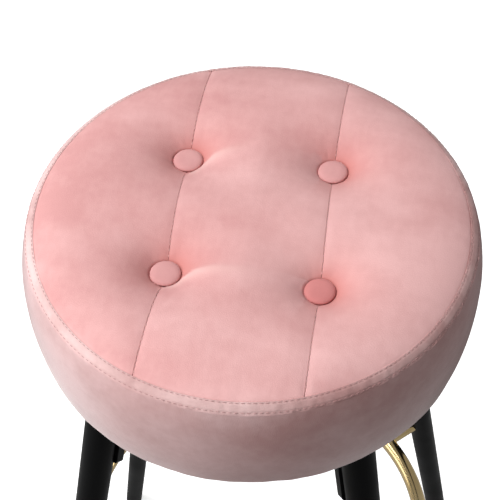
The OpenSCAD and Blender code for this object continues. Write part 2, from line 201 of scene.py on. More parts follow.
ring_tube_r = (ring_high.z - ring_low.z) / 2
ring_r = ring_high.x - ring_tube_r
ring_h = (ring_high.z + ring_low.z) / 2


def piece(shape, name, material):
    """Makes the shape a smooth piece of the stool, with its material."""
    mesh = bpy.data.meshes.new(name)
    shape.to_mesh(mesh)
    shape.free()
    for face in mesh.polygons:
        face.use_smooth = True
    mesh.materials.append(material)
    made = bpy.data.objects.new(name, mesh)
    bpy.context.scene.collection.objects.link(made)
    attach(made, "root")
    return made


def whole(shape):
    return shape.verts[:] + shape.edges[:] + shape.faces[:]


def rod(shape, r, start, stop, place):
    """Adds a round rod that runs along Z of the given place."""
    bmesh.ops.create_cone(shape, cap_ends=True, segments=bore_sides, radius1=r, radius2=r, depth=stop - start,
                          matrix=place @ Matrix.Translation((0, 0, (start + stop) / 2)))


def cut_out(shape, cutter):
    """The shape less the cutter, with its sharp edges marked."""
    parts = []
    for part in (shape, cutter):
        mesh = bpy.data.meshes.new("part")
        part.to_mesh(mesh)
        part.free()
        parts.append(bpy.data.objects.new("part", mesh))
        bpy.context.scene.collection.objects.link(parts[-1])
    cut = parts[0].modifiers.new("Cut", "BOOLEAN")
    cut.operation = "DIFFERENCE"
    cut.solver = "EXACT"
    cut.use_self = True
    cut.object = parts[1]
    result = bmesh.new()
    result.from_mesh(parts[0].evaluated_get(bpy.context.evaluated_depsgraph_get()).data)
    for part in parts:
        bpy.data.objects.remove(part)
    for edge in result.edges:
        edge.smooth = edge.calc_face_angle(math.pi) < sharp_turn
    return result


def turned_leg(turn):
    """One leg, turned with some length to spare, sawn off level at both ends and bored."""
    at_leg = Matrix.Rotation(turn, 4, "Z")
    in_leg = at_leg @ Matrix.Translation((leg_top_r, 0, leg_top_z)) @ Matrix.Rotation(-splay, 4, "Y")
    outwards = Matrix.Rotation(math.pi / 2, 4, "Y")
    taper = (leg_top_d - leg_foot_d) / 2 * spare / leg_l
    leg = bmesh.new()
    bmesh.ops.create_cone(leg, cap_ends=True, segments=leg_sides, radius1=leg_foot_d / 2 - taper,
                          radius2=leg_top_d / 2 + taper, depth=leg_l + 2 * spare,
                          matrix=in_leg @ Matrix.Translation((0, 0, -leg_l / 2)))
    for height, up in ((leg_top_z, 1), (glide_h, -1)):
        bmesh.ops.bisect_plane(leg, geom=whole(leg), plane_co=(0, 0, height), plane_no=(0, 0, up),
                               clear_outer=True)
        bmesh.ops.contextual_create(leg, geom=[e for e in leg.edges if e.is_boundary])
    for height in leg_cuts:
        bmesh.ops.bisect_plane(leg, geom=whole(leg), plane_co=(0, 0, height * mm), plane_no=(0, 0, 1))
    bmesh.ops.recalc_face_normals(leg, faces=leg.faces[:])
    bores = bmesh.new()
    flat_x = leg_flat - leg_top_d / 2
    size = Matrix.Diagonal((leg_top_d, 2 * leg_top_d, flat_l + spare, 1))
    bmesh.ops.create_cube(bores, size=1, matrix=in_leg @ Matrix.Translation(
        (flat_x - leg_top_d / 2, 0, (spare - flat_l) / 2)) @ size)
    for down in screw_drops:
        rod(bores, insert_bore_r, flat_x - 0.5 * mm, flat_x + insert_bore_l,
            in_leg @ Matrix.Translation((0, 0, -down)) @ outwards)
    drop = leg_top_z - ring_h
    leg_out_r = (leg_top_r + drop * math.tan(splay)
                 + (leg_top_d + (leg_foot_d - leg_top_d) * drop / leg_top_z) / 2 / math.cos(splay))
    at_ring = at_leg @ Matrix.Translation((0, 0, ring_h)) @ outwards
    rod(bores, ring_bore_r, ring_r, leg_out_r + leg_top_d, at_ring)
    rod(bores, head_bore_r, leg_out_r - head_sink, leg_out_r + leg_top_d, at_ring)
    foot_r = leg_foot_r - glide_h * math.tan(splay)
    rod(bores, pin_bore_r, 0, pin_bore_l, at_leg @ Matrix.Translation((foot_r, 0, 0)))
    return cut_out(leg, bores)


for name, turn in leg_turns.items():
    turned = piece(turned_leg(math.radians(turn)), f"turned_leg_{name}", lacquer)
    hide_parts(f"leg_{name}")

# Glides: black moulded pads with a pin, pressed into the lower end of each leg. Their edge is round
# so that the stool slides without marking the floor.
glide_plastic = hard_finish("Glide plastic", (0.012, 0.012, 0.012), (0.020, 0.020, 0.020), 0.5, 0.65,
                            grain=1500.0)
coat(glide_plastic, *[f"glide_{name}" for name in leg_names])

# Brackets: strips of 5 mm steel, bent to the splay of the leg and powder coated black. Bolts with hexagon
# sockets hold their flange under the board, and two zinc screws hold their web against the leg.
powder_coat = hard_finish("Black powder coat", (0.003, 0.003, 0.0033), (0.006, 0.006, 0.0065), 0.42, 0.60,
                          specular=0.12, grain=2200.0, depth=0.25)
zinc = hard_finish("Bright zinc", (0.55, 0.56, 0.58), (0.72, 0.73, 0.74), 0.25, 0.45, 1.0, patch=120.0)
turned_brass = hard_finish("Turned brass", (0.62, 0.42, 0.16), (0.76, 0.55, 0.25), 0.25, 0.40, 1.0,
                           patch=90.0)
coat(powder_coat, *[f"bracket_{name}" for name in leg_names], "flange_bolts")
coat(zinc, "leg_screws", "board_inserts", "twine_washers")
coat(turned_brass, "leg_inserts")

# Footrest: a round tube rolled to a ring, its joint brazed and dressed at the back, then polished and
# plated in a warm gold. A spacer and a long screw hold it to each leg.
ring_sides = 28
ring_steps = 200
joint_turn = math.radians(90)
joint_half = 3 * mm
joint_rise = 0.12 * mm


def turn_round(shape, steps):
    """Revolves the profile in the XZ plane a full turn about Z, closes it and points its faces out."""
    bmesh.ops.spin(shape, geom=shape.verts[:] + shape.edges[:], cent=(0, 0, 0), axis=(0, 0, 1),
                   angle=math.tau, steps=steps, use_merge=True)
    bmesh.ops.remove_doubles(shape, verts=shape.verts[:], dist=0.001 * mm)
    bmesh.ops.recalc_face_normals(shape, faces=shape.faces[:])


ring = bmesh.new()
bmesh.ops.create_circle(ring, segments=ring_sides, radius=ring_tube_r,
                        matrix=Matrix.Translation((ring_r, 0, ring_h)) @ Matrix.Rotation(math.pi / 2, 4, "X"))
turn_round(ring, ring_steps)
for v in ring.verts:
    turn = math.atan2(v.co.y, v.co.x)
    away = math.hypot(v.co.x, v.co.y) * abs(math.remainder(turn - joint_turn, math.tau))
    centre = Vector((v.co.x, v.co.y, 0)).normalized() * ring_r + Vector((0, 0, ring_h))
    v.co += (v.co - centre).normalized() * joint_rise * math.exp(-((away / joint_half) ** 2))
gold = hard_finish("Polished gold plating", (0.50, 0.37, 0.18), (0.58, 0.45, 0.24), 0.13, 0.24, 1.0,
                   patch=35.0, grain=600.0, depth=0.02)
footrest = piece(ring, "footrest_tube", gold)
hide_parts("footrest_ring")
coat(gold, "ring_spacers", "ring_screws")

# Seat board: a round of birch plywood with a rounded lower edge. Its plies show as thin light and dark
# lines round the edge, and the face has a long pale grain.
ply_t = 1.4 * mm
plywood = finish("Birch plywood", (0.62, 0.44, 0.26), 0.6)[0]
board_tree = plywood.node_tree
board_place = board_tree.nodes.new("ShaderNodeTexCoord").outputs["Object"]
height_in_board = board_tree.nodes.new("ShaderNodeSeparateXYZ")
board_tree.links.new(board_place, height_in_board.inputs["Vector"])
plies = worked_out(board_tree, "PINGPONG", height_in_board.outputs["Z"], ply_t)
ply_tone = spread_out(board_tree, plies, 0.0, ply_t)
face_grain = noise_on(board_tree, board_place, 4.0, (12, 160, 160))
grain_mix = worked_out(board_tree, "MULTIPLY", ply_tone.outputs["Result"], face_grain.outputs["Fac"])
two_tone(plywood, grain_mix, (0.40, 0.25, 0.13), (0.68, 0.50, 0.31))
bump(plywood, face_grain.outputs["Fac"], 0.2, 0.2 * mm)
coat(plywood, "seat_board")

# Twines: waxed polyester, drawn down from each button through pad and board and knotted on a washer.
# They keep the buttons at one level.
waxed_twine = hard_finish("Waxed twine", (0.60, 0.54, 0.44), (0.74, 0.69, 0.58), 0.5, 0.7, patch=700.0,
                          grain=2600.0, depth=0.4)
coat(waxed_twine, "button_twines")

# Foam pad: one round of moulded foam, crowned on top. The twines draw it down at four places, and the
# cover's tension rounds it between them, which a cloth under slight pressure finds here.
cover_turn = math.radians(4)
cover_t = 1.2 * mm
welt_low, welt_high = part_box("edge_welt")
welt_tilt = math.radians(40)
welt_w = 7.5 * mm
welt_t = 1.5 * mm
welt_r = welt_high.x - welt_t / 2 - (welt_w - welt_t) / 2 * math.cos(welt_tilt)
welt_z = (welt_low.z + welt_high.z) / 2
top_r = welt_r - 3.2 * mm
top_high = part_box("velvet_top_centre")[1].z
crown_rise = 10 * mm
crown_power = 8
button_boxes = {name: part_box(f"button_{name}") for name in leg_names}
button_r = (button_boxes["front_left"][1].x - button_boxes["front_left"][0].x) / 2
shank_l = 7 * mm
button_z = button_boxes["front_left"][0].z + shank_l
to_cover = Matrix.Rotation(-cover_turn, 4, "Z")
from_cover = Matrix.Rotation(cover_turn, 4, "Z")
button_places = {name: to_cover @ ((low + high) / 2).to_3d() for name, (low, high) in button_boxes.items()}
seam_x = abs(button_places["front_left"].x)
seam_lean = 4.5 * mm
front_lean = 2.3 * mm
tuft_reach = 16 * mm
tuft_power = 1.05
seam_depth = 1.4 * mm
seam_reach = 9 * mm
cover_squares = 74
rim_held = 0.93
tied_w = 1.5 * mm
sewn_w = 3 * mm
pressure = 2.6
relaxing_frames = 20
most_swell = 6 * mm


def smooth_step(t):
    """0 below 0, 1 above 1, and a smooth rise between them."""
    t = min(1.0, max(0.0, t))
    return t * t * (3 - 2 * t)


def from_button(x, y):
    """Distance from the middle of the nearest button."""
    return min(math.hypot(x - p.x, y - p.y) for p in button_places.values())


def lean(x, y):
    """How far the cover's weave has slid sideways: the seams' ends lean right at the back, left in front."""
    reach = math.sqrt(max(1e-6, top_r ** 2 - x * x)) - seam_x
    past = max(0.0, abs(y) - seam_x) / max(reach, 10 * mm)
    ends = seam_lean if y > 0 else front_lean * x / seam_x - seam_lean
    return ends * min(1.0, past) * max(0.0, 1 - (x / top_r) ** 4)


def drawn_top(x, y):
    """Height of the cover's outer face before the foam pushes it out."""
    share = min(1.0, math.hypot(x, y) / top_r)
    inside = 1 - share ** 10
    free = top_high - crown_rise * share ** crown_power
    free -= inside * seam_depth * math.exp(-(((abs(x - lean(x, y)) - seam_x) / seam_reach) ** 2))
    pull = math.exp(-((max(0.0, from_button(x, y) - button_r) / tuft_reach) ** tuft_power))
    return free + (button_z - free) * inside * pull


def round_sheet(radius, cuts):
    """A sheet of even squares, drawn out to a disc."""
    shape = bmesh.new()
    bmesh.ops.create_grid(shape, x_segments=cuts, y_segments=cuts, size=1.0)
    for v in shape.verts:
        x, y = v.co.xy
        v.co.x = radius * x * math.sqrt(1 - y * y / 2)
        v.co.y = radius * y * math.sqrt(1 - x * x / 2)
    return shape


def relaxed_top():
    """The drawn top under slight pressure, held at its rim, at the buttons and a little at the seams."""
    shape = round_sheet(top_r, cover_squares)
    for v in shape.verts:
        v.co.z = drawn_top(v.co.x, v.co.y)
    mesh = bpy.data.meshes.new("top_under_pressure")
    shape.to_mesh(mesh)
    shape.free()
    start = [v.co.copy() for v in mesh.vertices]
    cloth_piece = bpy.data.objects.new("top_under_pressure", mesh)
    bpy.context.scene.collection.objects.link(cloth_piece)
    held = cloth_piece.vertex_groups.new(name="held")
    for v in mesh.vertices:
        rim = smooth_step((math.hypot(v.co.x, v.co.y) / top_r - rim_held) / 0.05)
        tied = 1 - smooth_step((from_button(v.co.x, v.co.y) - button_r) / tied_w)
        off_seam = abs(v.co.x - lean(v.co.x, v.co.y)) - seam_x
        sewn = 0.25 * math.exp(-((off_seam / sewn_w) ** 2))
        held.add([v.index], max(rim, tied, sewn), "REPLACE")
    cloth = cloth_piece.modifiers.new("Cloth", "CLOTH")
    cloth.settings.quality = 8
    cloth.settings.mass = 0.3
    cloth.settings.tension_stiffness = 30
    cloth.settings.compression_stiffness = 30
    cloth.settings.shear_stiffness = 12
    cloth.settings.bending_stiffness = 1.5
    cloth.settings.use_pressure = True
    cloth.settings.uniform_pressure_force = pressure
    cloth.settings.effector_weights.gravity = 0
    cloth.settings.vertex_group_mass = "held"
    for frame_number in range(1, relaxing_frames + 1):
        bpy.context.scene.frame_set(frame_number)
    seen = cloth_piece.evaluated_get(bpy.context.evaluated_depsgraph_get())
    moved = [v.co.copy() for v in seen.data.vertices]
    cloth_piece.modifiers.clear()
    for v, old, new in zip(mesh.vertices, start, moved):
        push = new - old
        v.co = old + push * min(1.0, most_swell / max(push.length, 1e-9))
    bpy.context.scene.frame_set(1)
    bpy.data.objects.remove(cloth_piece)
    return mesh


def fair(mesh):
    """The mesh with its squares divided twice along smooth curves, as a tree for rays."""
    carrier = bpy.data.objects.new("carrier", mesh)
    bpy.context.scene.collection.objects.link(carrier)
    carrier.modifiers.new("Subdivision", "SUBSURF").levels = 2
    tree = BVHTree.FromObject(carrier, bpy.context.evaluated_depsgraph_get())
    bpy.data.objects.remove(carrier)
    return tree


top_tree = fair(relaxed_top())


def top_at(x, y):
    """Height of the cover's outer face at a place on the cover."""
    share = math.hypot(x, y) / (top_r * 0.9985)
    if share > 1:
        x, y = x / share, y / share
    return top_tree.ray_cast(Vector((x, y, 1)), Vector((0, 0, -1)))[0].z


band_low, band_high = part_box("velvet_side_band")
seat_z = band_low.z
swell_r = band_high.x
hem_round = 4 * mm
board_t = 15 * mm
foam_z = seat_z + 1.5 * mm + board_t
band_top_z = welt_z - welt_w / 2 * math.sin(welt_tilt) - 0.2 * mm
band_top_r = welt_r + welt_w / 2 * math.cos(welt_tilt) - 0.1 * mm
base_r = 148 * mm
upper_swell = 2.7
lower_swell = 2
foam_squares = 110
foam_gap = 0.8 * mm
button_seat = 2.4 * mm
button_seat_w = 7 * mm
side_levels = (0.9, 0.75, 0.55, 0.35, 0.15, 0.0)


def band_radius(z):
    """Radius of the side band's outer face at a height."""
    t = (z - seat_z) / (band_top_z - seat_z)
    swell = swell_r - (base_r + band_top_r) / 2
    power = upper_swell if t > 0.5 else lower_swell
    return base_r + (band_top_r - base_r) * t + swell * (1 - abs(2 * t - 1) ** power)


foam = round_sheet(top_r - 1 * mm, foam_squares)
for v in foam.verts:
    beside = max(0.0, from_button(v.co.x, v.co.y) - button_r)
    v.co.z = (min(top_at(v.co.x, v.co.y), drawn_top(v.co.x, v.co.y)) - cover_t - foam_gap
              - button_seat * math.exp(-((beside / button_seat_w) ** 2)))
side = [e for e in foam.edges if e.is_boundary]
for level in side_levels:
    height = foam_z + (band_top_z - foam_z) * level
    grown = bmesh.ops.extrude_edge_only(foam, edges=side)["geom"]
    side = [g for g in grown if isinstance(g, bmesh.types.BMEdge)]
    for v in {v for e in side for v in e.verts}:
        flat = Vector((v.co.x, v.co.y, 0)).normalized() * (band_radius(height) - cover_t - 0.4 * mm)
        v.co = (flat.x, flat.y, height)
bmesh.ops.contextual_create(foam, geom=side)
bmesh.ops.recalc_face_normals(foam, faces=foam.faces[:])
foam.transform(from_cover)
foam_rubber = hard_finish("Moulded foam", (0.78, 0.66, 0.38), (0.86, 0.77, 0.52), 0.8, 0.95, specular=0.1,
                          patch=300.0, grain=1400.0, depth=0.8)
foam_pad = piece(foam, "foam_core", foam_rubber)
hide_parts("foam_pad")

# Top panels: three pieces of pink velvet, sewn edge to edge along two straight seams. Each edge rolls down
# into its seam, and every stitch draws a little pucker into the pile beside it.
stitch_step = 3.4 * mm
roll_w = 0.7 * mm
roll_depth = 0.15 * mm
seam_gap = 0.10 * mm
pucker = 0.36 * mm
valley_w = 2.4 * mm
valley_depth = 0.36 * mm
crease = 0.14 * mm
creases_round = 9
crease_start = 4 * mm
crease_reach = 9 * mm
folds = {"back_left": ((1, -19), (6, -11), (12, -4), (18, 2), (26, 4.5), (34, 6), (44, 7)),
         "front_left": ((-5, -14), (6.5, -10), (12.5, -4), (19, -0.5), (30, 0.5), (42, 0), (55, 0.5),
                        (66, 1.5))}
fold_h = 0.75 * mm
fold_w = 2.8 * mm
tuck_depth = 1.0 * mm
tuck_w = 0.7 * mm
drawn_w = 10 * mm
gather_h = 0.4 * mm
gather_reach = 7 * mm
soft_h = 0.35 * mm
glow_side_turn = math.radians(20)
pressed_and_glow_reach = 11 * mm
panel_over = 1.2 * mm
panel_squares = 150
edge_insets = (0.0, 0.4, 0.8, 1.2, 1.8, 2.6, 3.6)
on_edge = 0.01 * mm
fine_w = 7 * mm
pucker_reach = 1.6 * mm
rim_roll_w = 2.6 * mm
rim_roll_depth = 1.6 * mm
seam_turn_in = 2.0 * mm


def velvet_pile():
    """Pile in soft patches and short streaks, paler to one side as painted light and deeper to the other as
    painted shade.
    """
    group, given, made = effect(
        "Velvet pile",
        [("Pile", "NodeSocketColor", (0.7, 0.4, 0.4, 1)), ("Brushed and lit", "NodeSocketColor", (0.8, 0.5, 0.5, 1)),
         ("Painted light slope", "NodeSocketVector", (0, 0, 0))],
        [("Color", "NodeSocketColor"), ("Roughness", "NodeSocketFloat"), ("Height", "NodeSocketFloat")])
    place = group.nodes.new("ShaderNodeTexCoord").outputs["Object"]
    strokes = noise_on(group, place, 5.0, (9, 14, 14))
    strokes.inputs["Scale"].default_value = 1.6
    strokes.inputs["Roughness"].default_value = 0.62
    streaks = noise_on(group, place, 4.0, (42, 21, 42))
    fibres = noise_on(group, place, 1.0, (1, 1, 1))
    fibres.inputs["Scale"].default_value = 1700
    patches = spread_out(group, strokes.outputs["Fac"], 0.3, 0.7)
    mottle = spread_out(group, streaks.outputs["Fac"], 0.36, 0.64)
    brushing = group.nodes.new("ShaderNodeMix")
    brushing.inputs["Factor"].default_value = 0.15
    group.links.new(patches.outputs["Result"], brushing.inputs[2])
    group.links.new(mottle.outputs["Result"], brushing.inputs[3])
    # Painted light and shade: the place's position along the given slope turns the pile paler on one side and
    # deeper on the other.
    painted_light_gradient = group.nodes.new("ShaderNodeVectorMath")
    painted_light_gradient.operation = "DOT_PRODUCT"
    group.links.new(place, painted_light_gradient.inputs[0])
    group.links.new(given.outputs["Painted light slope"], painted_light_gradient.inputs[1])
    nap_and_painted_light = worked_out(group, "ADD", brushing.outputs[0], painted_light_gradient.outputs["Value"])
    tone = group.nodes.new("ShaderNodeMix")
    tone.data_type = "RGBA"
    group.links.new(nap_and_painted_light, tone.inputs["Factor"])
    group.links.new(given.outputs["Pile"], tone.inputs[6])
    group.links.new(given.outputs["Brushed and lit"], tone.inputs[7])
    nap = worked_out(group, "ADD", fibres.outputs["Fac"], streaks.outputs["Fac"])
    dull = spread_out(group, patches.outputs["Result"], 0.0, 1.0, 0.75, 0.95)
    group.links.new(tone.outputs[2], made.inputs["Color"])
    group.links.new(dull.outputs["Result"], made.inputs["Roughness"])
    group.links.new(nap, made.inputs["Height"])
    return group


pile = velvet_pile()
pile_h = 0.4 * mm


def overlay(tree, colour, attribute, other):
    """The colour, turned towards another by as much as the mesh's own attribute says."""
    share = tree.nodes.new("ShaderNodeAttribute")
    share.attribute_name = attribute
    mixed = tree.nodes.new("ShaderNodeMix")
    mixed.data_type = "RGBA"
    mixed.inputs[7].default_value = (*other, 1.0)
    tree.links.new(share.outputs["Fac"], mixed.inputs["Factor"])
    tree.links.new(colour, mixed.inputs[6])
    return mixed.outputs[2]


def velvet(name, deep, brushed_and_lit, sheen, painted_light_slope=(0, 0, 0), tint=(1.0, 0.93, 0.91), pressed_pile_and_glow=None, crest_highlight=None):
    """Velvet between a deep and a brushed tone, graded from side to side as painted light and shade; where
    given, a pressed tone with painted glow and a painted crest highlight.
    """
    material, shader = finish(name, deep, 0.85, specular=0.1)
    shader.inputs["Sheen Weight"].default_value = sheen
    shader.inputs["Sheen Roughness"].default_value = 0.4
    shader.inputs["Sheen Tint"].default_value = (*tint, 1.0)
    tree = material.node_tree
    surface = tree.nodes.new("ShaderNodeGroup")
    surface.node_tree = pile
    surface.inputs["Pile"].default_value = (*deep, 1.0)
    surface.inputs["Brushed and lit"].default_value = (*brushed_and_lit, 1.0)
    surface.inputs["Painted light slope"].default_value = painted_light_slope
    colour = surface.outputs["Color"]
    if pressed_pile_and_glow:
        colour = overlay(tree, colour, "pressed_pile_and_glow", pressed_pile_and_glow)
    if crest_highlight:
        colour = overlay(tree, colour, "fold_highlight", crest_highlight)
    tree.links.new(colour, shader.inputs["Base Color"])
    tree.links.new(surface.outputs["Roughness"], shader.inputs["Roughness"])
    bump(material, surface.outputs["Height"], 0.35, pile_h)
    return material


def creased(x, y):
    """Small folds that run out from each button, deepest just past its edge."""
    drop = 0.0
    for p in button_places.values():
        away = math.hypot(x - p.x, y - p.y) - button_r
        if away < 60 * mm:
            turn = math.atan2(y - p.y, x - p.x)
            waver = noise.noise(Vector((math.cos(turn) * 1.7, math.sin(turn) * 1.7, p.x * 60 + p.y * 90)))
            fold = math.cos(turn * creases_round + 5 * waver)
            envelope = smooth_step(away / crease_start) * math.exp(-max(0.0, away) / crease_reach)
            drop += crease * (fold - 0.3 + waver) * envelope
    return drop


def drag_fold(x, y):
    """The soft fold that runs round each left button and away to the right: how near a place is to it, as
    a share, and how far the place lies to its inner side."""
    here = Vector((x, y))
    name = min(folds, key=lambda n: (here - button_places[n].xy).length)
    spot, path = button_places[name].xy, folds[name]
    near, along, inner = 1.0, 0.0, 1.0
    if (here - spot).length < 90 * mm:
        for k in range(len(path) - 1):
            start, stop = (spot + Vector(p) * mm for p in path[k:k + 2])
            run = stop - start
            share = min(1.0, max(0.0, (here - start).dot(run) / run.length_squared))
            gap = (here - start.lerp(stop, share)).length
            if gap < near:
                near, along = gap, (k + share) / (len(path) - 1)
                side = run.cross(here - start) / run.length
                inner = side if k == 0 else math.copysign(gap, side)
    width = fold_w * (0.6 + along) * (0.6 if inner > 0 else 1.7)
    fade = (1 - smooth_step((along - 0.4) / 0.6)) * smooth_step(along / 0.15)
    return fade * math.exp(-((near / width) ** 2)), inner


def sewn_top(x, y):
    """Height of the finished cover at a place on it, with its creases and puckers but without its seams."""
    away = top_r - math.hypot(x, y)
    turn = math.atan2(y, x)
    gathers = noise.noise(Vector((math.cos(turn) * 22, math.sin(turn) * 22, 3.0)))
    soft = noise.noise(Vector((x * 26, y * 26, 8.0)))
    beside = max(0.0, from_button(x, y) - button_r)
    drawn = (1 - smooth_step(beside / drawn_w)) * (drawn_top(x, y) - top_at(x, y))
    tuck = tuck_depth * math.exp(-((beside / tuck_w) ** 2))
    rim = gather_h * gathers * math.exp(-away / gather_reach) * smooth_step(away / (2 * mm))
    return (top_at(x, y) + drawn - tuck + creased(x, y) + fold_h * drag_fold(x, y)[0] + rim
            + soft_h * soft * smooth_step(away / (12 * mm)))


def pressed_pile_and_glow_at(x, y):
    """How much of the deeper tone a place gets: beside a button as pressed pile, and most on its lit side as
    a painted glow.
    """
    share = 0.0
    for p in button_places.values():
        away = max(0.0, math.hypot(x - p.x, y - p.y) - button_r)
        turn = math.atan2(y - p.y, x - p.x)
        side = 0.45 + 0.55 * smooth_step(0.5 + 0.7 * math.cos(turn - glow_side_turn))
        share = max(share, side * math.exp(-away / pressed_and_glow_reach))
    return share * smooth_step(0.5 + drag_fold(x, y)[1] / (5 * mm))


def panel(name, left, right):
    """Cuts a panel out of the round top between two seams, and rolls its sewn edges down."""
    sheet_r = top_r + panel_over
    shape = round_sheet(sheet_r, panel_squares)
    sewn = set()
    for edge, outward in ((left, -1), (right, 1)):
        if edge is None:
            continue
        for inset in edge_insets:
            bmesh.ops.bisect_plane(shape, geom=whole(shape), dist=on_edge,
                                   plane_co=(edge - outward * inset * mm, 0, 0), plane_no=(outward, 0, 0),
                                   clear_outer=inset == 0.0)
    bmesh.ops.remove_doubles(shape, verts=shape.verts[:], dist=0.05 * mm)
    fine = [e for e in shape.edges if all(from_button(*v.co.xy) < button_r + fine_w for v in e.verts)]
    bmesh.ops.subdivide_edges(shape, edges=fine, cuts=3, use_grid_fill=True)
    for v in shape.verts:
        across, y = v.co.xy
        x = across + lean(across, y)
        y *= math.sqrt(max(0.0, 1 - (x / sheet_r) ** 2) / max(1e-9, 1 - (across / sheet_r) ** 2))
        v.co.xy = x, y
        height = sewn_top(x, y)
        for edge in (left, right):
            if edge is not None:
                away = abs(across - edge)
                roll = max(0.0, 1 - away / roll_w)
                height -= roll_depth * (1 - math.sqrt(max(0.0, 1 - roll * roll)))
                height -= valley_depth * math.exp(-((away / valley_w) ** 2))
                pinch = 0.5 + 0.5 * math.cos(math.tau * y / stitch_step)
                height -= pucker * pinch ** 2 * math.exp(-away / pucker_reach)
                if away < on_edge:
                    sewn.add(v)
        rim = max(0.0, 1 - (sheet_r - math.hypot(x, y)) / rim_roll_w)
        v.co.z = height - rim_roll_depth * (1 - math.sqrt(max(0.0, 1 - rim * rim)))
    edges = [e for e in shape.edges if e.is_boundary and all(v in sewn for v in e.verts)]
    turned = bmesh.ops.extrude_edge_only(shape, edges=edges)["geom"]
    bmesh.ops.translate(shape, vec=(0, 0, -seam_turn_in),
                        verts=[g for g in turned if isinstance(g, bmesh.types.BMVert)])
    bmesh.ops.recalc_face_normals(shape, faces=shape.faces[:])
    if sum(f.normal.z for f in shape.faces) < 0:
        bmesh.ops.reverse_faces(shape, faces=shape.faces[:])
    # The deeper tone beside the buttons is partly pressed pile and partly a painted glow on each dimple's lit
    # side.
    pressed_pile_and_glow = [pressed_pile_and_glow_at(*v.co.xy) for v in shape.verts]
    # Painted highlight: a paler pink along the crests of the drag folds.
    fold_highlight = [drag_fold(*v.co.xy)[0] for v in shape.verts]
    shape.transform(from_cover)
    made = piece(shape, name, pink_velvet)
    made.data.attributes.new("pressed_pile_and_glow", "FLOAT", "POINT").data.foreach_set("value", pressed_pile_and_glow)
    made.data.attributes.new("fold_highlight", "FLOAT", "POINT").data.foreach_set("value", fold_highlight)
    cloth = made.modifiers.new("Cloth thickness", "SOLIDIFY")
    cloth.thickness = cover_t
    cloth.offset = -1
    return made


# Painted light on the top: the pink is deeper on the lit left as painted shade and paler towards the right
# and front as painted light.
pink_velvet = velvet("Pink velvet", (0.69, 0.345, 0.338), (0.85, 0.50, 0.49), 0.2, painted_light_slope=(3.0, -0.6, 0),
                     pressed_pile_and_glow=(0.63, 0.235, 0.215), crest_highlight=(0.81, 0.495, 0.47))
for name, left, right in (("left", None, -seam_x - seam_gap),
                          ("centre", -seam_x + seam_gap, seam_x - seam_gap),
                          ("right", seam_x + seam_gap, None)):
    top_panel = panel(f"velvet_panel_{name}", left, right)
    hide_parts(f"velvet_top_{name}")

# Seam thread: a polyester thread of about the pile's colour. It shows as a row of short stitches
# at the bottom of each seam, and passes under the buttons.
thread_d = 0.46 * mm
stitch_l = 2.1 * mm
stitch_sunk = valley_depth - 0.02 * mm
thread = hard_finish("Pink thread", (0.70, 0.41, 0.39), (0.82, 0.53, 0.51), 0.45, 0.6, specular=0.3,
                     patch=900.0, grain=3000.0, depth=0.3)


def stitch(shape, place, along, up, length=stitch_l):
    """One stitch: a short strand that lies along the seam and dips in at both ends."""
    side = along.cross(up).normalized()
    turned = Matrix((side, up, along)).transposed().to_4x4()
    size = Matrix.Diagonal((thread_d / 2, thread_d / 2, length / 2, 1))
    bmesh.ops.create_uvsphere(shape, u_segments=6, v_segments=5, radius=1,
                              matrix=Matrix.Translation(place) @ turned @ size)


seam_thread = bmesh.new()
for x in (-seam_x, seam_x):
    reach = math.sqrt(top_r ** 2 - x ** 2) - 2 * mm
    for k in range(int(-reach / stitch_step), int(reach / stitch_step) + 1):
        y = (k + 0.5) * stitch_step
        if from_button(x, y) > button_r:
            here, there = (Vector((x + lean(x, v), v, sewn_top(x + lean(x, v), v))) for v in (y, y + 1 * mm))
            ahead = (there - here).normalized()
            up = Vector((1, 0, 0)).cross(ahead)
            stitch(seam_thread, here - Vector((0, 0, stitch_sunk)), ahead, up)
seam_thread.transform(from_cover)
piece(seam_thread, "seam_stitches", thread)

# Edge welt: a flat strip of the same velvet, folded over and sewn down along both its edges where the
# top meets the side band. The stitches pucker it in short, uneven waves.
welt_stitches = 250
welt_sides = 26
welt_row = 2.9 * mm
welt_sunk = 0.3 * mm
welt_wave = 0.4 * mm
welt_wave_w = 2.8 * mm
row_w = 0.6 * mm
row_depth = 0.26 * mm
row_pull = 0.2 * mm


def welt_point(turn, across, lift):
    """A place on the welt: across is positive towards the outside, and lift is out of its face."""
    run = across * Vector((math.cos(welt_tilt), -math.sin(welt_tilt)))
    out = (lift - welt_sunk) * Vector((math.sin(welt_tilt), math.cos(welt_tilt)))
    r = welt_r + run.x + out.x
    return Vector((r * math.cos(turn), r * math.sin(turn), welt_z + run.y + out.y))


welt = bmesh.new()
bmesh.ops.create_circle(welt, segments=welt_sides, radius=1)
for v in welt.verts:
    across = math.copysign(abs(v.co.x) ** 0.75, v.co.x) * welt_w / 2
    lift = v.co.y * welt_t / 2
    v.co = welt_point(0, across, lift)
turn_round(welt, welt_stitches * 4)
for v in welt.verts:
    turn = math.atan2(v.co.y, v.co.x)
    r = math.hypot(v.co.x, v.co.y) - welt_r
    z = v.co.z - welt_z
    across = r * math.cos(welt_tilt) - z * math.sin(welt_tilt)
    lift = r * math.sin(welt_tilt) + z * math.cos(welt_tilt) + welt_sunk
    if lift > 0:
        wave = noise.noise(Vector((math.cos(turn) * 30, math.sin(turn) * 30, across * 90)))
        tight = 0.5 + 0.5 * math.cos(turn * welt_stitches)
        rows = math.exp(-(((abs(across) - welt_row) / row_w) ** 2))
        lift += welt_wave * wave * math.exp(-((across / welt_wave_w) ** 2))
        lift -= rows * (row_depth + row_pull * tight)
    v.co = welt_point(turn, across, lift)
